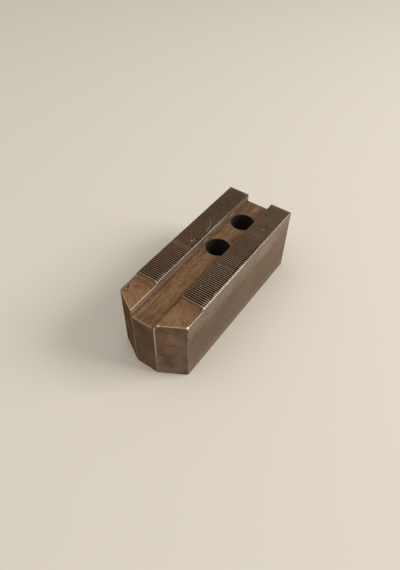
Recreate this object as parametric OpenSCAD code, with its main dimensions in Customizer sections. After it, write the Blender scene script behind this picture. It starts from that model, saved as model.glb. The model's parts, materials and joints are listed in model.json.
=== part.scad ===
// Machinable soft top jaw for a lathe power chuck, cut from one block of mild steel.
// The serrated face that bolts to the master jaw is up, and the nose points along -Y.
// The block rests on its bolt face, where the two counterbores open.

/* [Body] */
// Width across the jaw
jaw_w = 49; // [44:0.5:64]
// Length from the tip of the nose to the rear face
jaw_l = 128; // [118:0.5:160]
// Height from the bolt face to the tooth crests
jaw_h = 49; // [42:0.5:80]

/* [Nose] */
// Width of the flat at the tip of the nose
nose_flat_w = 16; // [8:0.5:17]
// Angle of each nose facet, back from the flat
nose_angle = 30; // [15:1:40]
// Length of the plain land behind the tip of the nose
land_l = 22; // [16:0.5:34]
// Drop of the land below the tooth crests
land_drop = 1.6; // [1.3:0.1:2.6]
// Corner radius of the cutter that milled the land, seen where the land runs out
run_out_r = 3.5; // [3:0.1:8]

/* [Serration] */
// Distance from one groove to the next
pitch = 1.5; // [1:0.1:2.5]
// Angle between the flanks of a groove
flank_angle = 60; // [60, 90]
// Flat on top of each tooth
crest_flat = 0.25; // [0.1:0.05:0.4]
// Flat at the bottom of each groove
root_flat = 0.15; // [0.05:0.05:0.3]
// Plain strip between the run-out and the first groove
lead_strip = 1; // [0.5:0.1:3]

/* [Key slot] */
// Width of the slot that locates on the master jaw's key
slot_w = 18; // [17.5:0.5:22]
// Depth of the slot below the tooth crests
slot_depth = 5.25; // [4:0.25:8]
// Radius along the foot of each slot wall
slot_root_r = 0.8; // [0.3:0.1:1.5]

/* [Bolts] */
// Diameter of the through holes, with clearance for the bolt
bolt_hole_d = 15.5; // [11:0.5:17]
// Distance between the two bolts
bolt_spacing = 30; // [26:1.5:39]
// Distance from the rear face to the nearer bolt
rear_bolt_inset = 22.5; // [16:0.25:30]
// Diameter of the counterbores for the bolt heads
head_bore_d = 22; // [19:0.5:24]
// Thickness left between the counterbores and the slot floor
bolt_web = 18; // [12:0.5:26]

/* [Edge breaks] */
// Break on the vertical edges
corner_break = 0.5; // [0.3:0.1:1.5]
// Break across the outer ends of the teeth
crest_break = 1; // [0.9:0.05:1.2]
// Break along the rear edge of the rails
rear_break = 0.35; // [0.25:0.05:0.35]
// Break along the crests where the slot opens
slot_break = 0.4; // [0.2:0.05:0.45]
// Break along the outer and front edges of the nose lands and the front of the slot floor
land_break = 0.6; // [0.6:0.05:0.85]
// Break along the nose lands where the slot opens
land_slot_break = 0.55; // [0.5:0.05:0.6]
// Break around the bolt face and the counterbore mouths
base_break = 0.5; // [0.2:0.1:1]

/* [Hidden] */
$fn = 96;

// Length by which cutters run past the steel, and the short run-out above the slot floor
past = 4;
skim = 0.5;

nose_y = -jaw_l / 2;
rear_y = jaw_l / 2;
land_z = jaw_h - land_drop;
floor_z = jaw_h - slot_depth;
land_end_y = nose_y + land_l;

// The nose facets run back from the flat to the full width
facet_w = (jaw_w - nose_flat_w) / 2;
facet_back = facet_w * tan(nose_angle);
facet_end_y = nose_y + facet_back;

// The run-out arc leaves the land level and meets the crests this far behind it
run_out_l = sqrt(2 * run_out_r * land_drop - land_drop * land_drop);

// A groove's depth follows from its pitch, flats and flank angle
groove_mouth = pitch - crest_flat;
groove_depth = (groove_mouth - root_flat) / 2 / tan(flank_angle / 2);
first_groove_y = land_end_y + run_out_l + lead_strip + groove_mouth / 2;
groove_count = floor((rear_y + groove_mouth / 2 - first_groove_y) / pitch) + 1;

// Bolt centres, counted from the rear face
bolt_ys = [for (i = [0, 1]) rear_y - rear_bolt_inset - i * bolt_spacing];
head_bore_depth = floor_z - bolt_web;

// Plan of the block, anticlockwise from the right end of the nose flat
plan_corners = [
    [nose_flat_w / 2, nose_y],
    [jaw_w / 2, facet_end_y],
    [jaw_w / 2, rear_y],
    [-jaw_w / 2, rear_y],
    [-jaw_w / 2, facet_end_y],
    [-nose_flat_w / 2, nose_y]
];
plan = broken(plan_corners, corner_break);

// Point on the way from a to b, at the given distance from a
function toward(a, b, distance) = a + (b - a) * distance / norm(b - a);

// Outline with each corner cut back by the same length along both of its edges
function broken(corners, size) = [
    for (i = [0 : len(corners) - 1])
        let (last = corners[(i + len(corners) - 1) % len(corners)])
        let (next = corners[(i + 1) % len(corners)])
        each [toward(corners[i], last, size), toward(corners[i], next, size)]
];

// Bar that takes a 45 degree break off the level edge from a to b at height z
module edge_cut(a, b, z, size) {
    run = b - a;
    side = size * sqrt(2);
    translate([(a.x + b.x) / 2, (a.y + b.y) / 2, z])
        rotate([0, 0, atan2(run.y, run.x)])
            rotate([45, 0, 0])
                cube([norm(run) + 2 * past, side, side], center = true);
}

// Everything above one nose land, as the cutter leaves it: x across the land, y up
// from its surface, with the breaks at both of its edges
module land_section() {
    inner = slot_w / 2;
    outer = jaw_w / 2;
    polygon([
        [inner - skim, -land_slot_break - skim],
        [inner + land_slot_break, 0],
        [outer - land_break, 0],
        [outer + past, -land_break - past],
        [outer + past, run_out_r],
        [inner - skim, run_out_r]
    ]);
}

// Clears the right-hand land: straight cut from the nose, then the cutter's radius
module land_cutter() {
    translate([0, land_end_y, land_z])
        rotate([90, 0, 0])
            linear_extrude(land_l + past) land_section();
    translate([0, land_end_y, land_z + run_out_r])
        rotate([0, 90, 0])
            rotate_extrude()
                rotate(90) translate([0, -run_out_r]) land_section();
}

// One serration groove, running right across the jaw
module groove() {
    mouth = groove_mouth / 2;
    root = root_flat / 2;
    rotate([90, 0, 90])
        linear_extrude(jaw_w + 2 * past, center = true)
            polygon([
                [-mouth, 0],
                [-root, -groove_depth],
                [root, -groove_depth],
                [mouth, 0],
                [mouth, past],
                [-mouth, past]
            ]);
}

// Every groove from the run-out to the rear face
module serration() {
    for (i = [0 : groove_count - 1])
        translate([0, first_groove_y + i * pitch, jaw_h])
            groove();
}

// Section of the key slot, with a radius along the foot of each wall
module slot_section() {
    half = slot_w / 2;
    translate([-half, slot_root_r]) square([slot_w, slot_depth + past]);
    translate([-half + slot_root_r, 0]) square([slot_w - 2 * slot_root_r, slot_depth]);
    for (side = [-1, 1])
        translate([side * (half - slot_root_r), slot_root_r]) circle(slot_root_r);
}

// Key slot through the whole length
module key_slot() {
    translate([0, rear_y + past, floor_z])
        rotate([90, 0, 0])
            linear_extrude(jaw_l + 2 * past) slot_section();
}

// Breaks along the tops of the slot walls, the outer sides and the rear
module crest_breaks() {
    for (side = [-1, 1]) {
        slot_edge = side * slot_w / 2;
        outer_edge = side * jaw_w / 2;
        edge_cut([slot_edge, nose_y], [slot_edge, rear_y], jaw_h, slot_break);
        edge_cut([outer_edge, nose_y], [outer_edge, rear_y], jaw_h, crest_break);
    }
    edge_cut([-jaw_w / 2, rear_y], [jaw_w / 2, rear_y], jaw_h, rear_break);
}

// Breaks along the nose: at the lands on the facets, and at the slot floor between them
module nose_breaks() {
    for (side = [-1, 1])
        edge_cut([side * nose_flat_w / 2, nose_y], [side * jaw_w / 2, facet_end_y], land_z, land_break);
    intersection() {
        edge_cut([-nose_flat_w / 2, nose_y], [nose_flat_w / 2, nose_y], floor_z, land_break);
        translate([-slot_w / 2, nose_y - past, floor_z - past])
            cube([slot_w, 2 * past, 2 * past]);
    }
}

// Breaks all round the bolt face
module base_breaks() {
    for (i = [0 : len(plan_corners) - 1])
        edge_cut(plan_corners[i], plan_corners[(i + 1) % len(plan_corners)], 0, base_break);
}

// Through hole and counterbore for one bolt, from the bolt face up
module bolt_bore() {
    mouth_r = head_bore_d / 2;
    translate([0, 0, head_bore_depth - 1]) cylinder(d = bolt_hole_d, h = bolt_web + 1 + past);
    translate([0, 0, -past]) cylinder(r = mouth_r, h = head_bore_depth + past);
    translate([0, 0, -1]) cylinder(r1 = mouth_r + base_break + 1, r2 = mouth_r, h = base_break + 1);
}

module soft_jaw() {
    color("#6e5f50")
        difference() {
            linear_extrude(jaw_h) polygon(plan);
            for (side = [0, 1]) mirror([side, 0, 0]) land_cutter();
            serration();
            key_slot();
            crest_breaks();
            nose_breaks();
            base_breaks();
            for (y = bolt_ys) translate([0, y, 0]) bolt_bore();
        }
}

soft_jaw();
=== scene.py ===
"""Dresses the machinable soft jaw, a worn steel block with serrated rails, a key slot and bolt bores."""

import json
import logging
import math
from dataclasses import dataclass
from enum import IntEnum
from typing import Iterable, Sequence, Union

import bmesh
import bpy
from bmesh.types import BMEdge, BMesh, BMFace, BMVert
from bpy.types import ID, Material, Mesh, Node, NodeSocket, Object
from mathutils import Euler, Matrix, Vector


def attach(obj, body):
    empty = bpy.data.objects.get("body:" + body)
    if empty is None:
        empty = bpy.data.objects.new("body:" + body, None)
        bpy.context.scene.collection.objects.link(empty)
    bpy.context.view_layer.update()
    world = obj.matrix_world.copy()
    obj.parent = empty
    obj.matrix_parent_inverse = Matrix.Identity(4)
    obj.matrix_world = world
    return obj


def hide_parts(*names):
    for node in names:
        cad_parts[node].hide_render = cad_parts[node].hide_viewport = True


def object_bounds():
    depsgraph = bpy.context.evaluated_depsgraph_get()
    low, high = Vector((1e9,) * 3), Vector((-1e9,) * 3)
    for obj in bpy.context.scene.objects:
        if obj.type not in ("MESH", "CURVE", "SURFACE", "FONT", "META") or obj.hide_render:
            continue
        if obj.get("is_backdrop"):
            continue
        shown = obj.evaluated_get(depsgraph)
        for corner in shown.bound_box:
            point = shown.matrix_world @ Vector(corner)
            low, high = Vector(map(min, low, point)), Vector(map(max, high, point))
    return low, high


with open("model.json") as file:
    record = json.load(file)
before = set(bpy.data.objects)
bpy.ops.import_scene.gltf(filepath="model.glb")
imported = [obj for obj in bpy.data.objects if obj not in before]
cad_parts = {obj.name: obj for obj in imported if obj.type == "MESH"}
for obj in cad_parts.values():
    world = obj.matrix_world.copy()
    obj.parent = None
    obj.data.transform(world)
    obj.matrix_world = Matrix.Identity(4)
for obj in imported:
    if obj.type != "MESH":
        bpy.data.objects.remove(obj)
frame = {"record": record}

MM = 0.001
EPS = 1e-6
NODE = "soft_jaw"
BODY = "root"
LOG = logging.getLogger("soft_jaw")

# How much of a face's normal lies along an axis when it faces that way, leans that way or hardly does
FACING, LEANING, SLIGHT = 0.95, 0.5, 0.3

Pair = tuple[float, float]
Triple = tuple[float, float, float]
Extent = dict[str, Pair]
Value = Union["Signal", float]
Paint = Union["Signal", str]


# ---- shape, with lengths in metres


def ease(low: float, high: float, value: float) -> float:
    """Goes smoothly from 0 at the low value to 1 at the high one."""
    share = min(1.0, max(0.0, (value - low) / (high - low)))
    return share * share * (3 - 2 * share)


class Region(IntEnum):
    """Surfaces of the jaw that were cut or kept in different ways, valued by their material's index."""

    SIDE = 0
    NOSE = 1
    FACET = 2
    RAIL = 3
    KEYWAY = 4
    BORE = 5
    BASE = 6


def slice_mesh(bm: BMesh, faces: Iterable[BMFace], axis: int, place: float) -> None:
    """Cuts an edge loop through some faces where they cross a plane that is square to an axis.

    Args:
        bm: The mesh.
        faces: The faces to cut.
        axis: The axis, which is 0 for x and 1 for y.
        place: Where the plane crosses the axis.
    """
    point, normal = Vector(), Vector()
    point[axis], normal[axis] = place, 1.0
    chosen = list(faces)
    edges = dict.fromkeys(edge for face in chosen for edge in face.edges)
    verts = dict.fromkeys(vert for face in chosen for vert in face.verts)
    bmesh.ops.bisect_plane(bm, geom=[*verts, *edges, *chosen], dist=EPS, plane_co=point, plane_no=normal)


def add_object(name: str, data: BMesh | ID) -> Object:
    """Adds an object to the scene.

    Args:
        name: Its name.
        data: Its mesh, camera or lamp, or a bmesh, which is used up.

    Returns:
        The object.
    """
    if isinstance(data, BMesh):
        bm, data = data, bpy.data.meshes.new(name)
        bm.to_mesh(data)
        bm.free()
    item = bpy.data.objects.new(name, data)
    bpy.context.scene.collection.objects.link(item)
    return item


def settled_mesh(piece: Object) -> Mesh:
    """Returns a new mesh of a piece with its modifiers applied."""
    graph = bpy.context.evaluated_depsgraph_get()
    return bpy.data.meshes.new_from_object(piece.evaluated_get(graph), depsgraph=graph)


@dataclass(frozen=True)
class EdgeBreaks:
    """Width of the break on each kind of edge, and the segments that round it."""

    crest: float = 1.0 * MM
    rear_crest: float = 0.35 * MM
    slot_crest: float = 0.4 * MM
    land: float = 0.45 * MM
    nose_top: float = 0.5 * MM
    slot_foot: float = 0.8 * MM
    floor_front: float = 0.5 * MM
    slot_mouth: float = 0.3 * MM
    corner: float = 0.5 * MM
    base: float = 0.5 * MM
    segments: int = 4


@dataclass(frozen=True)
class Block:
    """The milled block: a bar with a pointed nose and a key slot along its top.

    The nose points along -Y, and the bolt face is at z = 0.
    """

    width: float
    nose_y: float
    rear_y: float
    height: float
    nose_flat: float = 16 * MM
    nose_angle: float = math.radians(30)
    slot_width: float = 18 * MM
    slot_depth: float = 5.25 * MM
    breaks: EdgeBreaks = EdgeBreaks()

    @property
    def facet_end_y(self) -> float:
        """Where the nose facets meet the sides."""
        return self.nose_y + (self.width - self.nose_flat) / 2 * math.tan(self.nose_angle)

    @property
    def floor_z(self) -> float:
        """Height of the slot floor."""
        return self.height - self.slot_depth

    def solid(self) -> BMesh:
        """Makes the sharp-edged block.

        Returns:
            A closed mesh with one face for each flat of the block.
        """
        flat, side = self.nose_flat / 2, self.width / 2
        plan = [(flat, self.nose_y), (side, self.facet_end_y), (side, self.rear_y)]
        plan += [(-x, y) for x, y in reversed(plan)]
        bm = bmesh.new()
        outline = bm.faces.new([bm.verts.new((x, y, 0)) for x, y in plan])
        self._raise(bm, [outline], self.floor_z)
        wall = self.slot_width / 2
        for x in (-wall, wall):
            slice_mesh(bm, self._floor_faces(bm), 0, x)
        rails = [face for face in self._floor_faces(bm) if abs(face.calc_center_median().x) > wall]
        self._raise(bm, rails, self.slot_depth)
        bmesh.ops.delete(bm, geom=rails, context="FACES_ONLY")
        bmesh.ops.recalc_face_normals(bm, faces=bm.faces)
        bmesh.ops.dissolve_limit(bm, angle_limit=math.radians(1), verts=bm.verts, edges=bm.edges)
        return bm

    @staticmethod
    def _raise(bm: BMesh, faces: Sequence[BMFace], rise: float) -> None:
        """Extrudes some faces straight up, and leaves a copy of them below."""
        made = bmesh.ops.extrude_face_region(bm, geom=faces)["geom"]
        bmesh.ops.translate(bm, verts=[v for v in made if isinstance(v, BMVert)], vec=(0, 0, rise))

    def _floor_faces(self, bm: BMesh) -> list[BMFace]:
        """Returns the level faces at the height of the slot floor."""
        return [f for f in bm.faces if all(abs(v.co.z - self.floor_z) < EPS for v in f.verts)]

    def break_width(self, edge: BMEdge) -> float:
        """Chooses the break for one edge of the sharp block.

        Args:
            edge: An edge of the block.

        Returns:
            The width of its break.
        """
        middle = (edge.verts[0].co + edge.verts[1].co) / 2
        run = (edge.verts[1].co - edge.verts[0].co).normalized()
        lengthwise, in_slot = abs(run.y) > 1 - EPS, abs(middle.x) < self.slot_width / 2 + EPS
        if abs(run.z) > 1 - EPS:
            return self.breaks.slot_mouth if in_slot and middle.z > self.floor_z else self.breaks.corner
        if middle.z < EPS:
            return self.breaks.base
        if middle.z < self.floor_z + EPS:
            return self.breaks.slot_foot if lengthwise else self.breaks.floor_front
        if lengthwise:
            return self.breaks.slot_crest if in_slot else self.breaks.crest
        return self.breaks.rear_crest if middle.y > 0 else self.breaks.nose_top

    def rounded(self) -> BMesh:
        """Makes the block with a round break on every edge.

        Returns:
            A closed mesh.
        """
        bm = self.solid()
        weight = bm.edges.layers.float.new("bevel_weight_edge")
        for edge in bm.edges:
            edge[weight] = self.break_width(edge) / MM
        block = add_object("block", bm)
        bevel = block.modifiers.new("breaks", "BEVEL")
        bevel.limit_method, bevel.width, bevel.segments = "WEIGHT", MM, self.breaks.segments
        bevel.use_clamp_overlap = False
        mesh = settled_mesh(block)
        bm = bmesh.new()
        bm.from_mesh(mesh)
        bpy.data.objects.remove(block)
        return bm


@dataclass(frozen=True)
class RailProfile:
    """Height of the rails along the jaw: plain lands, the cutter's run-out, then the serration."""

    nose_y: float
    land_length: float = 22 * MM
    land_drop: float = 1.6 * MM
    run_out_radius: float = 3.5 * MM
    lead_strip: float = 1 * MM
    pitch: float = 1.5 * MM
    flank_angle: float = math.radians(60)
    crest_flat: float = 0.25 * MM
    root_flat: float = 0.15 * MM
    crest_round: float = 0.08 * MM
    root_round: float = 0.05 * MM

    @property
    def land_end_y(self) -> float:
        """Where the land ends and the run-out starts."""
        return self.nose_y + self.land_length

    @property
    def run_out_angle(self) -> float:
        """Angle that the run-out arc turns through, up to the crests."""
        return math.acos(1 - self.land_drop / self.run_out_radius)

    @property
    def run_out_end_y(self) -> float:
        """Where the run-out meets the crests."""
        return self.land_end_y + self.run_out_radius * math.sin(self.run_out_angle)

    @property
    def first_groove_y(self) -> float:
        """Centre of the first groove."""
        return self.run_out_end_y + self.lead_strip + (self.pitch - self.crest_flat) / 2

    def section(self) -> list[Pair]:
        """Works out half of a groove's section.

        Returns:
            Distance from the groove's centre and depth below the crests, from the root outward.
        """
        mouth, root = (self.pitch - self.crest_flat) / 2, self.root_flat / 2
        lean, drop = math.sin(self.flank_angle / 2), math.cos(self.flank_angle / 2)
        depth = (mouth - root) * drop / lean
        return [
            (root - self.root_round / 2, depth),
            (root + self.root_round * lean, depth - self.root_round * drop),
            (mouth - self.crest_round * lean, self.crest_round * drop),
            (mouth + self.crest_round, 0.0),
        ]

    def groove_depth(self, y: float) -> float:
        """Works out how deep the serration is.

        Args:
            y: A place along the jaw.

        Returns:
            How far it lies below the crests there.
        """
        past = y - self.first_groove_y + self.pitch / 2
        if past < 0:
            return 0.0
        off = abs(past % self.pitch - self.pitch / 2)
        points = [(0.0, self.section()[0][1]), *self.section(), (self.pitch / 2, 0.0)]
        for (near, deep), (far, shallow) in zip(points, points[1:]):
            if off <= far:
                return deep + (shallow - deep) * (off - near) / (far - near)
        return 0.0

    def land_depth(self, y: float) -> float:
        """Returns how far the land and its run-out lie below the crests at y."""
        past = min(max(y, self.land_end_y), self.run_out_end_y) - self.land_end_y
        return self.land_drop - self.run_out_radius + math.sqrt(self.run_out_radius**2 - past**2)

    def groove_stations(self, last_y: float) -> list[float]:
        """Lists the places along the jaw where the serration's section turns.

        Args:
            last_y: Where whole grooves have to end.

        Returns:
            The stations of every whole groove, in order.
        """
        offsets = [off for off, _ in self.section()]
        turns = [-off for off in reversed(offsets)] + offsets
        count = math.floor((last_y - offsets[-1] - self.first_groove_y) / self.pitch) + 1
        return [self.first_groove_y + i * self.pitch + turn for i in range(count) for turn in turns]

    def land_stations(self, spacing: float, arc_steps: int) -> list[float]:
        """Lists the stations along the land and its run-out.

        Args:
            spacing: Distance between stations on the land.
            arc_steps: Steps along the run-out arc.

        Returns:
            The stations, in order.
        """
        land = [self.nose_y + spacing * i for i in range(1, int(self.land_length / spacing))]
        turns = [self.run_out_angle * i / arc_steps for i in range(arc_steps + 1)]
        return land + [self.land_end_y + self.run_out_radius * math.sin(turn) for turn in turns]


@dataclass(frozen=True)
class BoltBore:
    """A through hole with a counterbore that opens in the bolt face."""

    centre_y: float
    hole_r: float
    head_r: float
    head_depth: float
    floor_z: float
    edge_break: float = 0.25 * MM
    mouth_break: float = 0.5 * MM
    past: float = 2 * MM
    steps: int = 96

    @classmethod
    def at_mounts(cls, hole: dict, head: dict, floor_z: float) -> "BoltBore":
        """Places a bore by the record's mounts for its through hole and its counterbore."""
        size, centre_y, head_r = hole["dims"], hole["pos_m"][1], head["dims"]["r_mm"] * MM
        return cls(centre_y, size["r_mm"] * MM, head_r, floor_z - size["length_mm"] * MM, floor_z)

    def outline(self) -> list[Pair]:
        """Lists the corners of half of the cutter's section.

        Returns:
            Radius and height at each, from the lower end to the upper one.
        """
        return [
            (0, -self.past),
            (self.head_r + self.mouth_break + self.past, -self.past),
            (self.head_r, self.mouth_break),
            (self.head_r, self.head_depth),
            (self.hole_r, self.head_depth),
            (self.hole_r, self.floor_z - self.edge_break),
            (self.hole_r + self.edge_break + self.past, self.floor_z + self.past),
            (0, self.floor_z + self.past),
        ]

    def turn(self, bm: BMesh) -> None:
        """Adds the bore's cutter to a mesh as a turned solid.

        Args:
            bm: The mesh that collects the cutters.
        """
        verts = [bm.verts.new((r, self.centre_y, z)) for r, z in self.outline()]
        edges = [bm.edges.new(pair) for pair in zip(verts, verts[1:])]
        bmesh.ops.spin(
            bm, geom=[*verts, *edges], cent=(0, self.centre_y, 0), axis=(0, 0, 1), angle=2 * math.pi,
            steps=self.steps, use_merge=True,
        )

    def holds(self, point: Vector) -> bool:
        """Tells whether a point of the jaw lies in the bore or on its wall."""
        off = math.hypot(point.x, point.y - self.centre_y)
        return off < self.head_r + self.mouth_break and EPS < point.z < self.floor_z - EPS


@dataclass(frozen=True)
class Dent:
    """A small hollow knocked into the top of the jaw, with its lengths in millimetres.

    Attributes:
        x: Its place across the jaw, to the right of the middle.
        s: Its place along the jaw, from the tip of the nose.
        radius: How far it spreads.
        depth: Its depth.
        reach: Radii within which the mesh is divided.
        cuts: How finely it is divided there.
    """

    x: float
    s: float
    radius: float
    depth: float
    reach: float = 2.0
    cuts: int = 3

    def far(self, point: Vector, nose_y: float) -> float:
        """Returns a point's distance from the middle of the dent, in radii."""
        return math.hypot(point.x / MM - self.x, (point.y - nose_y) / MM - self.s) / self.radius

    def touches(self, face: BMFace, nose_y: float) -> bool:
        """Tells whether a corner or the middle of a face lies within the dent's reach."""
        points = (face.calc_center_median(), *(vert.co for vert in face.verts))
        return min(self.far(point, nose_y) for point in points) < self.reach

    def press(self, bm: BMesh, lowest: float, nose_y: float) -> None:
        """Divides the top finely round the dent and lowers it there.

        Args:
            bm: The mesh.
            lowest: Height above which the mesh belongs to the rails.
            nose_y: Where the tip of the nose is.
        """
        top = [f for f in bm.faces if f.normal.z > 0.1 and min(v.co.z for v in f.verts) > lowest]
        edges = dict.fromkeys(edge for face in top if self.touches(face, nose_y) for edge in face.edges)
        coarse = [edge for edge in edges if edge.calc_length() > self.radius * MM / 2]
        bmesh.ops.subdivide_edges(bm, edges=coarse, cuts=self.cuts, use_grid_fill=True)
        for vert in bm.verts:
            if vert.co.z > lowest:
                vert.co.z -= self.depth * MM * math.exp(-self.far(vert.co, nose_y) ** 2)


@dataclass
class SoftJaw:
    """The whole jaw, one machined piece."""

    block: Block
    profile: RailProfile
    bores: list[BoltBore]
    dents: Sequence[Dent]
    corner_fade: float = 2.5 * MM
    column_spacing: float = 1.1 * MM
    land_spacing: float = 1.5 * MM
    run_out_steps: int = 6
    smooth_angle: float = math.radians(35)

    def _cap(self, bm: BMesh) -> list[BMFace]:
        """Returns the faces of the rail tops, with the breaks along them."""
        lowest = self.block.height - self.block.breaks.crest - EPS
        return [f for f in bm.faces if min(v.co.z for v in f.verts) > lowest]

    def divide(self, bm: BMesh) -> None:
        """Cuts the block into the columns and stations that its tops are shaped by.

        Args:
            bm: The rounded block.
        """
        block = self.block
        inner = block.slot_width / 2 + block.breaks.slot_crest
        outer = block.width / 2 - block.breaks.crest
        count = round((outer - inner) / self.column_spacing)
        for i in range(1, count):
            x = inner + (outer - inner) * i / count
            for place in (-x, x):
                slice_mesh(bm, self._cap(bm), 0, place)
        stations = self.profile.groove_stations(block.rear_y - block.breaks.rear_crest)
        land = self.profile.land_stations(self.land_spacing, self.run_out_steps)
        for y in (*land, stations[0], stations[-1]):
            slice_mesh(bm, bm.faces, 1, y)
        self._divide_serration(bm, stations)

    @staticmethod
    def _divide_serration(bm: BMesh, stations: Sequence[float]) -> None:
        """Divides the uncut stretch from the first station to the last at each of those between.

        Args:
            bm: The block, cut at those two stations.
            stations: The stations of the serration, in order.
        """
        first, last = stations[0], stations[-1]
        spans = []
        for edge in bm.edges:
            near, far = sorted(vert.co.y for vert in edge.verts)
            if max(abs(near - first), abs(far - last)) < 10 * EPS:
                spans.append(edge)
        bmesh.ops.subdivide_edges(bm, edges=spans, cuts=len(stations) - 2, use_grid_fill=True)
        step = (last - first) / (len(stations) - 1)
        for vert in bm.verts:
            if first - EPS < vert.co.y < last + EPS:
                vert.co.y = stations[round((vert.co.y - first) / step)]

    def _break_share(self, y: float) -> float:
        """Works out how wide the outer break is.

        Args:
            y: A place along the jaw.

        Returns:
            Its width there, as a share of its width along the serration.
        """
        start, breaks = self.block.facet_end_y + self.block.breaks.corner, self.block.breaks
        narrow = ease(start, start + self.corner_fade, y)
        narrow *= 1 - ease(self.profile.land_end_y, self.profile.run_out_end_y, y)
        return 1 - narrow * (1 - breaks.land / breaks.crest)

    def mill(self, bm: BMesh) -> None:
        """Lowers the lands, narrows the breaks beside them and cuts the serration into the rails.

        Args:
            bm: The divided block.
        """
        half, top, profile = self.block.width / 2, self.block.height, self.profile
        widest = self.block.breaks.crest + EPS
        for vert in bm.verts:
            place = vert.co
            if place.z < top - widest:
                continue
            if half - abs(place.x) < widest:
                share = self._break_share(place.y)
                place.x = math.copysign(half - share * (half - abs(place.x)), place.x)
                place.z = top - share * (top - place.z)
            place.z = min(place.z - profile.land_depth(place.y), top - profile.groove_depth(place.y))

    def bore(self, bm: BMesh) -> Mesh:
        """Cuts the bolt bores.

        Args:
            bm: The milled block, which is used up.

        Returns:
            The mesh of the jaw with its bores.
        """
        turned = bmesh.new()
        for bolt in self.bores:
            bolt.turn(turned)
        bmesh.ops.remove_doubles(turned, verts=turned.verts, dist=EPS)
        bmesh.ops.recalc_face_normals(turned, faces=turned.faces)
        jaw, cutter = add_object("jaw", bm), add_object("cutter", turned)
        cut = jaw.modifiers.new("bores", "BOOLEAN")
        cut.operation, cut.solver, cut.object = "DIFFERENCE", "EXACT", cutter
        mesh = settled_mesh(jaw)
        for item in (jaw, cutter):
            bpy.data.objects.remove(item)
        return mesh

    def region_of(self, centre: Vector, normal: Vector) -> Region:
        """Tells which surface of the jaw a face belongs to.

        Args:
            centre: The face's centre.
            normal: The face's normal.

        Returns:
            The face's region.
        """
        if any(bolt.holds(centre) for bolt in self.bores):
            return Region.BORE
        if normal.z < -LEANING:
            return Region.BASE
        block, front = self.block, self.block.breaks.floor_front
        above_floor = centre.z > block.floor_z - front
        if above_floor and abs(centre.x) < block.slot_width / 2 and normal.y < FACING:
            at_tip = centre.y < block.nose_y + front
            return Region.NOSE if at_tip and normal.z < SLIGHT else Region.KEYWAY
        edge = block.breaks.crest * self._break_share(centre.y)
        top = block.height - self.profile.land_depth(centre.y)
        if centre.z > top - edge - EPS and abs(normal.y) < FACING:
            return Region.RAIL
        if normal.y > -SLIGHT:
            return Region.SIDE
        return Region.NOSE if abs(centre.x) < block.nose_flat / 2 else Region.FACET

    def build(self) -> Object:
        """Builds the jaw.

        Returns:
            The finished piece, with a material index on each face.
        """
        bm = self.block.rounded()
        self.divide(bm)
        self.mill(bm)
        for dent in self.dents:
            dent.press(bm, self.block.floor_z + self.profile.land_drop, self.block.nose_y)
        mesh = self.bore(bm)
        mesh.name = "machined_jaw"
        for face in mesh.polygons:
            face.material_index = self.region_of(face.center, face.normal)
        mesh.shade_smooth()
        mesh.set_sharp_from_angle(angle=self.smooth_angle)
        return add_object("machined_jaw", mesh)


# ---- finish, with lengths in millimetres


def linear(colour: str) -> tuple[float, ...]:
    """Turns a screen colour such as #6e5f50 into the linear colour that shaders take."""
    parts = [int(colour[i : i + 2], 16) / 255 for i in (1, 3, 5)]
    return (*(c / 12.92 if c <= 0.04045 else ((c + 0.055) / 1.055) ** 2.4 for c in parts), 1.0)


class Signal:
    """An output in a node tree that takes part in plain arithmetic."""

    def __init__(self, graph: "Graph", socket: NodeSocket) -> None:
        """Wraps one output socket."""
        self.graph, self.socket = graph, socket

    def _math(self, operation: str, *values: Value) -> "Signal":
        """Adds one Math node."""
        return self.graph.node("Math", {"operation": operation}, dict(enumerate(values)))

    def __add__(self, other: Value) -> "Signal":
        """Adds."""
        return self._math("ADD", self, other)

    def __sub__(self, other: Value) -> "Signal":
        """Subtracts."""
        return self._math("SUBTRACT", self, other)

    def __rsub__(self, other: Value) -> "Signal":
        """Subtracts from a number."""
        return self._math("SUBTRACT", other, self)

    def __mul__(self, other: Value) -> "Signal":
        """Multiplies."""
        return self._math("MULTIPLY", self, other)

    def __truediv__(self, other: Value) -> "Signal":
        """Divides."""
        return self._math("DIVIDE", self, other)

    def __pow__(self, other: Value) -> "Signal":
        """Raises to a power."""
        return self._math("POWER", self, other)

    def __abs__(self) -> "Signal":
        """Drops the sign."""
        return self._math("ABSOLUTE", self)

    def most(self, other: Value) -> "Signal":
        """Takes the larger of two values."""
        return self._math("MAXIMUM", self, other)

    def swing(self, gain: float) -> "Signal":
        """Turns noise around 0.5 into noise around 0 and scales it."""
        return (self - 0.5) * gain

    def rise(self, low: float, high: float) -> "Signal":
        """Goes smoothly from 0 at the low value to 1 at the high one."""
        settings = {"interpolation_type": "SMOOTHSTEP"}
        return self.graph.node("MapRange", settings, {0: self, 1: low, 2: high})

    def between(self, low: float, high: float, soft: float) -> "Signal":
        """Is 1 between two values and falls to 0 outside them."""
        return self.rise(low - soft, low) * (1 - self.rise(high, high + soft))


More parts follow.
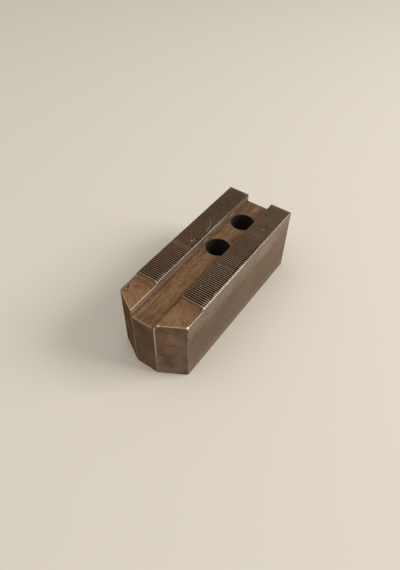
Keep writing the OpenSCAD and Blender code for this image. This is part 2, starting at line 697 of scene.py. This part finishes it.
class Graph:
    """One material's node tree, with the jaw's own coordinates in millimetres.

    Attributes:
        x: Distance to the right of the middle.
        side: Distance from the middle, either way.
        s: Distance back from the tip of the nose.
        z: Height above the bolt face.
        f: Distance out from the nearer nose facet.
    """

    def __init__(self, name: str, block: Block) -> None:
        """Starts a material.

        Args:
            name: The material's name.
            block: The block that the coordinates start from.
        """
        self.material = bpy.data.materials.new(name)
        self.material.use_nodes = True
        self.tree = self.material.node_tree
        self.shader = self.tree.nodes["Principled BSDF"]
        metres = self.node("TexCoord", {}, {}, "Object")
        self.place = self.node("VectorMath", {"operation": "SCALE"}, {0: metres, "Scale": 1 / MM})
        self.x, y, self.z = (self.node("SeparateXYZ", {}, {0: self.place}, axis) for axis in "XYZ")
        self.s = y - block.nose_y / MM
        self.side = abs(self.x)
        lean, drop = math.sin(block.nose_angle), math.cos(block.nose_angle)
        self.f = (self.side - block.nose_flat / 2 / MM) * lean - self.s * drop

    def feed(self, node: Node, values: dict) -> None:
        """Gives some of a node's inputs their values.

        Args:
            node: The node.
            values: A number, screen colour or signal for each of those inputs.
        """
        for key, value in values.items():
            if isinstance(value, Signal):
                self.tree.links.new(value.socket, node.inputs[key])
            else:
                node.inputs[key].default_value = linear(value) if isinstance(value, str) else value

    def node(self, kind: str, settings: dict, values: dict, output: int | str = 0) -> Signal:
        """Adds a node.

        Args:
            kind: The node's type, without ShaderNode in front.
            settings: The node's own properties, which are set first.
            values: A value for each input that isn't left as it is.
            output: The output to use.

        Returns:
            That output.
        """
        node = self.tree.nodes.new("ShaderNode" + kind)
        for name, value in settings.items():
            setattr(node, name, value)
        self.feed(node, values)
        return Signal(self, node.outputs[output])

    def blend(self, under: Paint, over: Paint, share: Value, mode: str = "MIX") -> Signal:
        """Lays one colour over another."""
        settings = {"data_type": "RGBA", "blend_type": mode}
        return self.node("Mix", settings, {0: share, 6: under, 7: over}, 2)

    def cloud(self, size: float | Triple, seed: float, detail: float = 3.0) -> Signal:
        """Makes cloudy noise around 0.5.

        Args:
            size: Size of its patches in millimetres, all ways or along x, y and z.
            seed: Moves the pattern, so that no two are alike.
            detail: Number of finer layers.

        Returns:
            The noise.
        """
        sizes = size if isinstance(size, tuple) else (size,) * 3
        scale = {"Location": (seed, -seed, seed / 2), "Scale": tuple(1 / one for one in sizes)}
        place = self.node("Mapping", {}, {0: self.place, **scale})
        return self.node("TexNoise", {}, {"Vector": place, "Scale": 1.0, "Detail": detail})

    def distance(self, extent: Extent) -> Signal:
        """Works out the distance from a point, or from an edge along the coordinate that isn't given.

        Args:
            extent: The point's place and the length that counts as 1, along each coordinate.

        Returns:
            The distance.
        """
        total: Value = 0.0
        for name, (middle, unit) in extent.items():
            total = ((getattr(self, name) - middle) / unit) ** 2.0 + total
        return total**0.5


class WearAndHighlight:
    """Bright steel where handling has rubbed one edge or corner; a few of these are painted highlights
    instead.

    Attributes:
        strength: How bright it is, from 0 to 1.
        along: The coordinate that runs along the edge.
        span: Where along it the wear starts and ends.
        soft: Length of the fade at each end.
        extent: The edge's place and the wear's reach, along each coordinate that bounds it.
    """

    def __init__(
        self,
        reach: float,
        strength: float,
        along: str = "s",
        span: Pair = (-10, 200),
        soft: float = 2.0,
        **at: float,
    ) -> None:
        """Takes the wear's reach and strength, and where it is."""
        self.strength, self.along, self.span, self.soft = strength, along, span, soft
        self.extent = {name: (place, reach) for name, place in at.items()}

    def mask(self, graph: Graph, ragged: Signal) -> Signal:
        """Works out how bright each point is, from 0 to 1, with noise around 0 in the border."""
        worn_and_lit = (1 - (graph.distance(self.extent) + ragged).rise(0.75, 1.05)) * self.strength
        return worn_and_lit * getattr(graph, self.along).between(*self.span, self.soft)


class TonePatch:
    """A patch or band of another tone on the steel; most are stains, and some are painted shade,
    highlights or reflections.

    Attributes:
        colour: Its colour.
        strength: How much of the steel it hides, from 0 to 1.
        extent: Its middle and half its size, along each of the graph's coordinates that bound it.
    """

    def __init__(self, colour: str, strength: float, **extent: Pair) -> None:
        """Takes the stain's tone and shape."""
        self.colour, self.strength, self.extent = colour, strength, extent

    def mask(self, graph: Graph, ragged: Signal) -> Signal:
        """Works out how much of the patch covers each point, from 0 to 1, with noise around 0 in the
        border.
        """
        near = graph.distance(self.extent) + ragged
        return (1 - near.rise(0.45, 1.2)) * self.strength


@dataclass(frozen=True)
class Scratch:
    """A thin bright scratch on the top of the jaw, along an arc round the point at x and s."""

    x: float
    s: float
    radius: float
    span: Pair
    width: float = 0.3
    strength: float = 0.42

    def mask(self, graph: Graph, ragged: Signal) -> Signal:
        """Works out how scratched each point is.

        Args:
            graph: The material's graph.
            ragged: Noise around 0 that makes the border uneven.

        Returns:
            The scratch, from 0 to 1.
        """
        far = graph.distance({"x": (self.x, 1.0), "s": (self.s, 1.0)})
        near = abs(far - self.radius) / self.width + ragged * 0.5
        near_side = graph.x.rise(self.x, self.x + self.radius / 2)
        return (1 - near.rise(0.4, 1.0)) * graph.s.between(*self.span, 1.0) * near_side * self.strength


# Sizes of the finest grain, the pits, and the bays in the borders of stains and rubbed edges
GRAIN, PIT, STAIN_BAY, WEAR_BAY = 0.35, 0.8, 2.2, 1.1

# Height of the relief in metres, and how metallic bare steel is
RELIEF, BARE = 0.0004, 0.85


@dataclass(frozen=True)
class Finish:
    """Steel with the marks of one cut, the patina, stains and wear of its years, and on some surfaces
    painted shade, highlights and reflections.

    Attributes:
        name: The material's name.
        dark: Colour of the deeper patina.
        light: Colour of the cleaner steel.
        patch: Size of the patches of patina, along x, y and z.
        marks: Size of the tool marks.
        mark_depth: Strength of the tool marks in the relief.
        spots: Size of the small spots in the patina.
        mottle: How much the tone varies from spot to spot.
        pits: How dark the small pits are.
        metallic: How metallic the patina is.
        roughness: Roughness of the patina.
        specular: Specular level of the whole surface.
        wear_and_highlights: Edges that are rubbed bright, and a few painted highlights.
        stains_and_painted_light: Patches and bands of another tone, some of them painted shade,
            highlights or reflections.
        bright: Colour of bare steel on those edges and of the painted highlights.
    """

    name: str
    dark: str
    light: str
    patch: Triple = (14, 14, 9)
    marks: Triple = (6, 6, 0.25)
    mark_depth: float = 0.25
    spots: Triple = (1.8, 1.8, 1.8)
    mottle: float = 0.7
    pits: float = 0.0
    metallic: float = 0.3
    roughness: float = 0.5
    specular: float = 0.3
    wear_and_highlights: tuple[WearAndHighlight | Scratch, ...] = ()
    stains_and_painted_light: tuple[TonePatch, ...] = ()
    bright: str = "#d9ccba"

    def patina(self, graph: Graph, dark: str, light: str, seed: float) -> Signal:
        """Lays patches of a lighter tone over a darker one."""
        return graph.blend(dark, light, graph.cloud(self.patch, seed, 4).rise(0.3, 0.7))

    def colour(self, graph: Graph) -> Signal:
        """Lays the patina over the whole surface."""
        return self.patina(graph, self.dark, self.light, 3.1)

    def build(self, block: Block) -> Material:
        """Builds the material.

        Args:
            block: The block that gives the coordinates.

        Returns:
            The material.
        """
        graph = Graph(self.name, block)
        grain, marks = graph.cloud(GRAIN, 7.7, 2), graph.cloud(self.marks, 1.3, 3)
        colour, torn = self.colour(graph), graph.cloud(STAIN_BAY, 6.3, 4).swing(1.4)
        for patch in self.stains_and_painted_light:
            colour = graph.blend(colour, patch.colour, patch.mask(graph, torn))
        tone = graph.cloud(self.spots, 8.8, 5).swing(self.mottle)
        tone = tone + marks.swing(0.8) + grain.swing(0.5) + 1.0
        if self.pits:
            tone = tone - graph.cloud(PIT, 5.9, 1).rise(0.62, 0.72) * self.pits
        colour = graph.blend(colour, tone, 1.0, "MULTIPLY")
        ragged = graph.cloud(WEAR_BAY, 4.2, 3).swing(1.1)
        worn_and_lit: Value = 0.0
        for edge in self.wear_and_highlights:
            worn_and_lit = edge.mask(graph, ragged).most(worn_and_lit)
        if self.wear_and_highlights:
            colour = graph.blend(colour, self.bright, worn_and_lit)
        relief = marks * self.mark_depth + grain * 0.12
        bump = {"Strength": 0.35, "Distance": RELIEF, "Height": relief}
        looks = {
            "Base Color": colour,
            "Metallic": worn_and_lit * (BARE - self.metallic) + self.metallic if self.wear_and_highlights else self.metallic,
            "Roughness": marks.swing(0.2) + self.roughness - worn_and_lit * 0.08,
            "Specular IOR Level": self.specular,
            "Normal": graph.node("Bump", {}, bump),
        }
        graph.feed(graph.shader, looks)
        return graph.material


@dataclass(frozen=True, kw_only=True)
class RailFinish(Finish):
    """The rail tops: tan lands, a grey run-out, and teeth whose grooves carry grime and painted shade,
    darkest near the nose.

    The colours of the crests and the grooves draw together over the fade, towards the rear.
    """

    ramp: str = "#765d44"
    crest: str = "#8a7056"
    # The near-black groove colour is painted shade in the grooves, with some grime; it fades towards the
    # rear.
    groove: str = "#1d1007"
    rear_crest: str = "#6f5946"
    rear_groove: str = "#644f3c"
    fade: Pair = (52.0, 102.0)
    run_out: Pair
    crest_z: float
    groove_depth: float

    def colour(self, graph: Graph) -> Signal:
        """Lays the serration's colours over the tan of the lands.

        Args:
            graph: The material's graph.

        Returns:
            The colour.
        """
        tan, back = super().colour(graph), graph.s.rise(*self.fade)
        depth = (self.crest_z - graph.z) / self.groove_depth
        start = self.run_out[1] + 0.5, self.run_out[1] + 1.0
        crest = graph.blend(self.crest, self.rear_crest, back)
        crest = graph.blend(self.ramp, crest, graph.s.rise(*start))
        groove = graph.blend(self.groove, self.rear_groove, back)
        teeth = graph.blend(crest, groove, depth.rise(0.05, 0.45) * graph.s.rise(*start))
        return graph.blend(tan, teeth, (graph.s + graph.cloud(3, 9.1).swing(1.2)).rise(*self.run_out))


@dataclass(frozen=True)
class FacetFinish(Finish):
    """The nose facets, with painted shade and warm bounce light on the left-hand one, which make it
    darker and browner.
    """

    # Painted shade and warm bounce light: darker and browner tones for the left facet.
    left_shaded_dark: str = "#5b4231"
    left_shaded_light: str = "#7a5b42"

    def colour(self, graph: Graph) -> Signal:
        """Lays the painted shade, darker and browner, over the facet on the left."""
        left = self.patina(graph, self.left_shaded_dark, self.left_shaded_light, 6.6)
        return graph.blend(left, super().colour(graph), graph.x.rise(-1, 1))


@dataclass(frozen=True)
class KeywayFinish(Finish):
    """The slot: lengthwise streaks and fine scuffs on its floor, and a band along the right wall that is
    partly rust and partly the right rail's painted shadow.

    The walls are greyer, from wall_z up.
    """

    rust_and_shadow: str = "#6a3e1b"
    streak: str = "#573d27"
    scuff: str = "#a08060"
    wall: str = "#806a53"
    wall_z: Pair = (44.4, 44.9)

    def colour(self, graph: Graph) -> Signal:
        """Draws the streaks, and the rust and painted shadow along the right wall.

        Args:
            graph: The material's graph.

        Returns:
            The colour.
        """
        base = super().colour(graph)
        streaks = graph.cloud((0.7, 16, 2), 5.5, 4).rise(0.5, 0.7)
        base = graph.blend(base, self.streak, streaks * 0.7)
        fine = graph.cloud((0.45, 10, 2), 4.4, 1)
        base = graph.blend(base, self.streak, fine.rise(0.5, 0.62) * 0.45)
        base = graph.blend(base, self.scuff, (1 - fine).rise(0.54, 0.66) * 0.4)
        # Painted shadow of the right rail, partly rust: a darker band along the right wall from where the
        # lands end.
        band = (graph.x + graph.cloud((2, 12, 2), 2.4).swing(3)).rise(4.8, 7.2)
        base = graph.blend(base, self.rust_and_shadow, band * graph.s.rise(16, 24) * 0.7)
        return graph.blend(base, self.wall, graph.z.rise(*self.wall_z))


FACET_STAINS = (
    TonePatch("#77523b", 0.55, x=(11, 4), z=(38, 12)),
    TonePatch("#5c4534", 0.55, x=(13, 2.5), z=(15, 5)),
    TonePatch("#7d6b5a", 0.5, x=(21, 4), z=(30, 16)),
    TonePatch("#8b7d6d", 0.5, x=(20.5, 4), z=(10, 10)),
)


class PatinaAndPaintedLight:
    """Where the jaw is rubbed, stained and knocked, where light and shade are painted on it, and the
    finish of each of its surfaces.
    """

    def __init__(self, block: Block, profile: RailProfile) -> None:
        """Takes the places of the edges.

        Args:
            block: The milled block.
            profile: The section along its rails.
        """
        widths = (block.width, block.slot_width, block.nose_flat)
        self.side, self.slot, self.flat = (width / 2 / MM for width in widths)
        self.floor, self.crest = block.floor_z / MM, block.height / MM
        self.land = self.crest - profile.land_drop / MM
        self.groove_depth = profile.section()[0][1] / MM
        ends = (block.facet_end_y, profile.land_end_y, profile.run_out_end_y, block.rear_y)
        ends = ((y - block.nose_y) / MM for y in ends)
        self.facet_end, self.land_end, self.run_out_end, self.rear = ends
        self.slot_corner = (self.slot - self.flat) * math.tan(block.nose_angle)

    def rubbed_and_lit_edges(self) -> tuple[WearAndHighlight, ...]:
        """Lists the edges and corners that handling has rubbed bright, and the painted highlights low on
        the slot's left wall.

        Returns:
            The worn edges and the painted highlights.
        """
        side, slot, flat, corner, rear = self.side, self.slot, self.flat, self.facet_end, self.rear
        floor, land, crest = self.floor, self.land, self.crest
        lands, rails = (-5, self.land_end + 1), (self.land_end + 2, rear - 3)
        return (
            WearAndHighlight(1.3, 1.0, x=side, s=corner, z=land),
            WearAndHighlight(0.9, 0.85, x=slot + 1.2, s=self.slot_corner + 0.7, z=land),
            WearAndHighlight(1.15, 1.0, x=side, z=crest, span=(self.land_end + 6, 66), soft=8),
            WearAndHighlight(0.9, 0.85, x=side, z=crest, span=rails),
            WearAndHighlight(0.8, 0.3, x=-side, z=crest, span=rails),
            WearAndHighlight(0.8, 0.9, x=-slot, z=crest, span=(self.land_end + 2, 88), soft=20),
            WearAndHighlight(0.6, 0.3, x=-slot, z=crest, span=rails),
            WearAndHighlight(0.45, 0.25, x=slot, z=crest, span=rails),
            WearAndHighlight(0.45, 0.45, x=side, z=land, span=lands),
            WearAndHighlight(0.45, 0.2, x=-side, z=land, span=lands),
            WearAndHighlight(0.55, 0.43, x=-slot, z=land, span=lands),
            WearAndHighlight(0.5, 0.35, f=0, z=land),
            # Painted highlights: two bright lines low on the slot's left wall, just above its rounded
            # foot.
            WearAndHighlight(0.5, 0.65, x=-slot, z=floor + 1.3, span=(-5, 18), soft=6),
            WearAndHighlight(0.5, 0.25, x=-slot, z=floor + 1.05, span=(-5, 62), soft=8),
            WearAndHighlight(0.6, 0.25, s=0, z=floor, along="x", span=(-20, 2), soft=6),
            WearAndHighlight(0.5, 0.55, x=flat, s=0, along="z", span=(24, 44), soft=16),
            WearAndHighlight(0.45, 0.25, x=flat, s=0, along="z"),
            WearAndHighlight(0.45, 0.2, x=-flat, s=0, along="z"),
            WearAndHighlight(0.5, 0.12, side=side, s=corner, along="z"),
            WearAndHighlight(0.6, 0.35, side=side, s=rear, along="z"),
        )

    def knocks(self) -> tuple[WearAndHighlight | Scratch, ...]:
        """Lists the bright nicks and the scratch across the teeth.

        Returns:
            The marks.
        """
        nicks = ((-13.9, 66.0, 0.6), (-12.8, 67.9, 0.7), (-11.8, 67.1, 0.6), (-16.3, 64.2, 0.5))
        nicks += ((12.1, 58.3, 0.5), (13.0, 37.9, 0.5), (17.8, 101.9, 0.45))
        marks = tuple(WearAndHighlight(reach, 0.8, x=x, s=s, z=self.crest) for x, s, reach in nicks)
        return marks + (Scratch(-28, 79, 16.4, (79, 89)),)

    def side_stains_and_sheen(self) -> tuple[TonePatch, ...]:
        """Lists the stains on the sides, which are redder towards the rear, and the painted reflections
        that make the sides lighter and greyer towards the top and the bottom.

        Returns:
            The stains and the painted reflections.
        """
        side, top = self.side, self.crest
        return (
            TonePatch("#75645a", 0.75, x=(-side, 8)),
            # Painted reflections: lighter and greyer towards the top and the bottom, and a lighter sheen
            # high up at the rear.
            TonePatch("#877664", 0.75, z=(top, 15)),
            TonePatch("#8a7560", 0.55, z=(0, 9)),
            TonePatch("#907e69", 0.5, s=(97, 14), z=(41, 6)),
            TonePatch("#80634d", 0.45, s=(118, 15), z=(30, 18)),
            TonePatch("#7b5738", 0.65, s=(92.5, 4.5), z=(29.5, 3)),
            TonePatch("#76583d", 0.5, s=(88, 2.5), z=(34, 1.5)),
            TonePatch("#604b39", 0.55, s=(80.7, 1.2), z=(40, 1.4)),
            TonePatch("#7a5a41", 0.5, s=(81, 6), z=(15, 9)),
            TonePatch("#8a6f59", 0.4, s=(12, 4), z=(8, 5)),
            TonePatch("#54412f", 0.3, x=(side, 2), s=(76, 52), z=(top - 2.0, 0.5)),
            TonePatch("#54412f", 0.35, x=(side, 2), s=(16, 9), z=(top - 3.1, 0.5)),
            TonePatch("#67513e", 0.5, s=(36, 20), z=(18, 8)),
            TonePatch("#69503a", 0.4, s=(112, 34), z=(8, 14)),
            TonePatch("#776558", 0.9, s=(self.rear, 0.5)),
        )

    def rail_stains_and_painted_light(self) -> tuple[TonePatch, ...]:
        """Lists the stains on the lands and the serration, and the painted shade and highlights among
        them.

        Returns:
            The stains, the painted shade and the painted highlights.
        """
        side, slot, crest, root = self.side, self.slot, self.crest, self.crest - self.groove_depth
        left, right = (-17, 12), (17, 12)
        pits = ((19.4, 11.3), (20.6, 10.4), (21.9, 11.3), (21.3, 13.3), (21.4, 19.0), (12.7, 5.2))
        pits += ((15.0, 4.9), (10.9, 5.0), (-22.6, 14.8), (-22.0, 14.2), (-21.4, 13.5), (-20.9, 12.8))
        pits += ((-21.9, 12.9), (-20.4, 11.2), (-22.1, 10.7))
        return tuple(TonePatch("#45230f", 0.75, x=(x, 0.6), s=(s, 0.6)) for x, s in pits) + (
            TonePatch("#92704b", 0.4, x=(14, 8), s=(8, 5)),
            TonePatch("#694c31", 0.5, x=(-17, 9), s=(20, 5)),
            TonePatch("#5f4329", 0.35, s=(21.8, 1.6)),
            TonePatch("#402c1a", 0.35, x=left, s=(22.2, 0.5)),
            TonePatch("#402c1a", 0.2, x=right, s=(22.6, 0.4)),
            # Painted light: a lighter patch on the steep upper part of the left run-out, which shading
            # darkens.
            TonePatch("#8c7052", 0.25, x=left, s=(23.7, 0.9)),
            TonePatch("#35261a", 0.25, s=(24.85, 0.4)),
            TonePatch("#a5856c", 0.4, x=left, s=(25.9, 0.6)),
            TonePatch("#b3917a", 0.14, s=(54, 20), z=(crest, 0.5)),
            TonePatch("#613c25", 0.5, x=(-17.4, 1.2), s=(17.6, 1.0)),
            TonePatch("#66402a", 0.45, x=(-18.6, 1.0), s=(16.2, 1.2)),
            TonePatch("#54351e", 0.25, x=(-17, 10), s=(62, 44)),
            TonePatch("#4f3c2b", 0.5, x=(-17, 10), s=(110, 25)),
            TonePatch("#453223", 0.15, x=(17, 10), s=(80, 16)),
            TonePatch("#84684c", 0.5, x=left, s=(59.5, 2.0)),
            TonePatch("#84684c", 0.3, x=right, s=(59.5, 1.3)),
            TonePatch("#2f2115", 0.15, x=right, s=(61.8, 1.3)),
            TonePatch("#735e4a", 0.5, x=right, s=(95, 2.0)),
            # Painted shade: black groove ends beside the right rail's outer edge and the left rail's slot
            # edge.
            TonePatch("#080503", 1.0, x=(side - 1.9, 1.1), s=(60, 38), z=(root, 0.9)),
            TonePatch("#080503", 1.0, x=(-slot - 1.3, 1.0), s=(60, 38), z=(root, 0.9)),
            TonePatch("#b0926b", 0.9, x=(side - 1.2, 1.1), s=(37.8, 2.4)),
            # Painted highlights on the crest ends near the right rail's outer edge and the left rail's
            # slot edge.
            TonePatch("#c4b199", 0.6, x=(side - 2.0, 1.6), s=(29, 5), z=(crest, 0.4)),
            TonePatch("#c4b199", 0.5, x=(-slot - 1.2, 1.0), s=(31, 8), z=(crest, 0.4)),
            # Painted shade: a dark line along the rear end of the crests, where a groove would be.
            TonePatch("#241a11", 0.7, s=(self.rear, 0.9)),
        )

    def slot_stains_and_shade(self) -> tuple[TonePatch, ...]:
        """Lists the stains along the slot, and the painted shade in the crease at the foot of its left
        wall.

        Returns:
            The stains and the painted shade.
        """
        slot, floor = self.slot, self.floor
        return (
            # Painted shade in the crease where the slot's left wall meets the floor.
            TonePatch("#553c28", 0.8, x=(-slot, 1.6), z=(floor, 1.2)),
            TonePatch("#b08a64", 0.8, x=(slot, 2.6), z=(floor, 3), s=(8, 16)),
            TonePatch("#5f3d22", 0.5, x=(6.6, 0.6), s=(8, 16)),
            TonePatch("#8e6743", 0.7, x=(4.4, 1.8), s=(5, 9)),
            TonePatch("#5a3f28", 0.5, x=(-5, 4), s=(121, 9)),
            TonePatch("#654427", 0.4, x=(-5.5, 2.5), s=(28, 9)),
            TonePatch("#86694f", 0.5, x=(0.5, 2.5), s=(75, 28)),
            TonePatch("#5b3717", 0.3, x=(5.3, 0.5), s=(36, 26)),
            TonePatch("#96693f", 0.22, x=(4.2, 1.2), s=(36, 32)),
            TonePatch("#432410", 0.7, x=(5.3, 1.0), s=(85.5, 1.4)),
            TonePatch("#5a3b22", 0.55, x=(-7.4, 0.7), s=(27, 14)),
            TonePatch("#553820", 0.6, x=(-4.4, 0.6), s=(10, 16)),
            TonePatch("#654529", 0.65, x=(0, 8), s=(4, 5)),
            TonePatch("#5e3413", 0.4, x=(7.2, 1.8), s=(44, 16)),
            TonePatch("#a5805a", 0.5, x=(7.6, 0.9), s=(13, 9)),
            TonePatch("#5f432c", 0.4, x=(6, 4), s=(120, 8)),
        )

    def finishes(self) -> dict[Region, Finish]:
        """Chooses the finish of each surface.

        Returns:
            A finish for each region.
        """
        edges = self.rubbed_and_lit_edges()
        return {
            Region.SIDE: Finish(
                "side_steel", "#684f3b", "#735d49", (30, 30, 22), wear_and_highlights=edges, stains_and_painted_light=self.side_stains_and_sheen()
            ),
            Region.NOSE: Finish("nose_steel", "#4e3721", "#705034", wear_and_highlights=edges, specular=0.2),
            Region.FACET: FacetFinish(
                "facet_steel", "#665041", "#89715e", metallic=0.0, specular=0.0, wear_and_highlights=edges,
                stains_and_painted_light=FACET_STAINS,
            ),
            Region.RAIL: RailFinish(
                "rail_steel", "#725336", "#8b6849", marks=(5, 0.3, 5), pits=0.5, metallic=0.1,
                specular=0.12, wear_and_highlights=edges + self.knocks(), stains_and_painted_light=self.rail_stains_and_painted_light(),
                run_out=(self.land_end, self.run_out_end), crest_z=self.crest,
                groove_depth=self.groove_depth,
            ),
            Region.KEYWAY: KeywayFinish(
                "slot_steel", "#6b4b2e", "#886544", marks=(0.3, 30, 3), spots=(1.0, 3.0, 2.0),
                mottle=1.2, wear_and_highlights=edges, stains_and_painted_light=self.slot_stains_and_shade(),
            ),
            # Painted shade: near-black bore walls without specular, where the bores lie in shade.
            Region.BORE: Finish(
                "bore_steel", "#2f2925", "#39322d", marks=(4, 4, 0.4), mottle=0.4, metallic=0.0,
                roughness=0.85, specular=0.0,
            ),
            Region.BASE: Finish("base_steel", "#6a5a4a", "#857260", marks=(0.4, 20, 4), wear_and_highlights=edges),
        }


# ---- studio, with lengths in metres


@dataclass(frozen=True)
class Lamp:
    """A square lamp that faces the jaw. Its power is in watts."""

    name: str
    place: Triple
    size: float
    power: float

    def hang(self) -> None:
        """Hangs the lamp in the scene."""
        data = bpy.data.lights.new(self.name, "AREA")
        data.size, data.energy = self.size, self.power
        lamp = add_object(self.name, data)
        lamp.location = self.place
        lamp.rotation_euler = (-Vector(self.place)).to_track_quat("-Z", "Y").to_euler()


@dataclass(frozen=True)
class Studio:
    """Camera with its lens in millimetres, pale floor, and daylight with a window behind to the right."""

    eye: Triple = (0.11665, -0.18056, 0.2574)
    azimuth: float = math.radians(34.03)
    elevation: float = math.radians(48.15)
    roll: float = math.radians(1.38)
    lens: float = 30.39
    floor_colour: str = "#ddd4c4"
    floor_roughness: float = 0.9
    floor_size: float = 6.0
    lamps: tuple[Lamp, ...] = (
        Lamp("window", (0.95, 0.6, 0.85), 0.7, 13.0),
        Lamp("ceiling", (-0.3, -0.3, 1.4), 1.4, 6.5),
    )
    room: float = 0.4

    def camera(self) -> None:
        """Makes the camera."""
        data = bpy.data.cameras.new("camera")
        data.lens, data.sensor_width, data.sensor_fit = self.lens, 36.0, "AUTO"
        data.clip_start, data.clip_end = 0.01, 20.0
        camera = add_object("camera", data)
        camera.location = self.eye
        aim = Euler((math.pi / 2 - self.elevation, 0, self.azimuth)).to_matrix()
        camera.rotation_euler = (aim @ Euler((0, 0, self.roll)).to_matrix()).to_euler()
        bpy.context.scene.camera = camera

    def floor(self) -> None:
        """Makes the floor, which isn't part of the object."""
        bm = bmesh.new()
        bmesh.ops.create_grid(bm, x_segments=1, y_segments=1, size=self.floor_size / 2)
        floor = add_object("floor", bm)
        material = bpy.data.materials.new("floor_paper")
        material.use_nodes = True
        shader = material.node_tree.nodes["Principled BSDF"]
        shader.inputs["Base Color"].default_value = linear(self.floor_colour)
        shader.inputs["Roughness"].default_value = self.floor_roughness
        floor.data.materials.append(material)
        floor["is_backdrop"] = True

    def light(self) -> None:
        """Hangs the lamps and lights the room."""
        for lamp in self.lamps:
            lamp.hang()
        world = bpy.data.worlds.new("room")
        world.use_nodes = True
        shader = world.node_tree.nodes["Background"]
        shader.inputs["Color"].default_value = linear("#ffffff")
        shader.inputs["Strength"].default_value = self.room
        bpy.context.scene.world = world
        bpy.context.scene.view_settings.view_transform = "Standard"


DENTS = (
    Dent(19.4, 11.3, 0.35, 0.15),
    Dent(21.9, 11.3, 0.35, 0.15),
    Dent(20.6, 10.4, 0.3, 0.1),
    Dent(21.4, 19.0, 0.6, 0.1),
    Dent(12.7, 5.2, 0.35, 0.12),
    Dent(10.9, 5.0, 0.3, 0.1),
    Dent(-21.5, 13.4, 0.5, 0.1),
    Dent(24.2, 38.0, 1.1, 0.3),
    Dent(-12.0, 69.0, 1.1, 0.25),
    Dent(18.0, 105.0, 0.6, 0.2),
)


def main() -> None:
    """Builds the studio and the jaw, and reports the piece."""
    logging.basicConfig(level=logging.INFO, format="%(name)s: %(message)s")
    low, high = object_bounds()
    studio = Studio()
    studio.camera()
    studio.floor()
    studio.light()
    mounts = {mount["name"]: mount for mount in frame["record"]["mounts"]}
    block = Block(width=high.x - low.x, nose_y=low.y, rear_y=high.y, height=high.z)
    bores = [
        BoltBore.at_mounts(mounts[f"bolt_hole_{end}"], mounts[f"head_bore_{end}"], block.floor_z)
        for end in ("nose", "rear")
    ]
    profile = RailProfile(block.nose_y)
    piece = SoftJaw(block, profile, bores, DENTS).build()
    paints = PatinaAndPaintedLight(block, profile).finishes()
    for region in Region:
        piece.data.materials.append(paints[region].build(block))
    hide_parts(NODE)
    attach(piece, BODY)
    LOG.info("%s: %d faces", piece.name, len(piece.data.polygons))
    low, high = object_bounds()


if __name__ == "__main__":
    main()
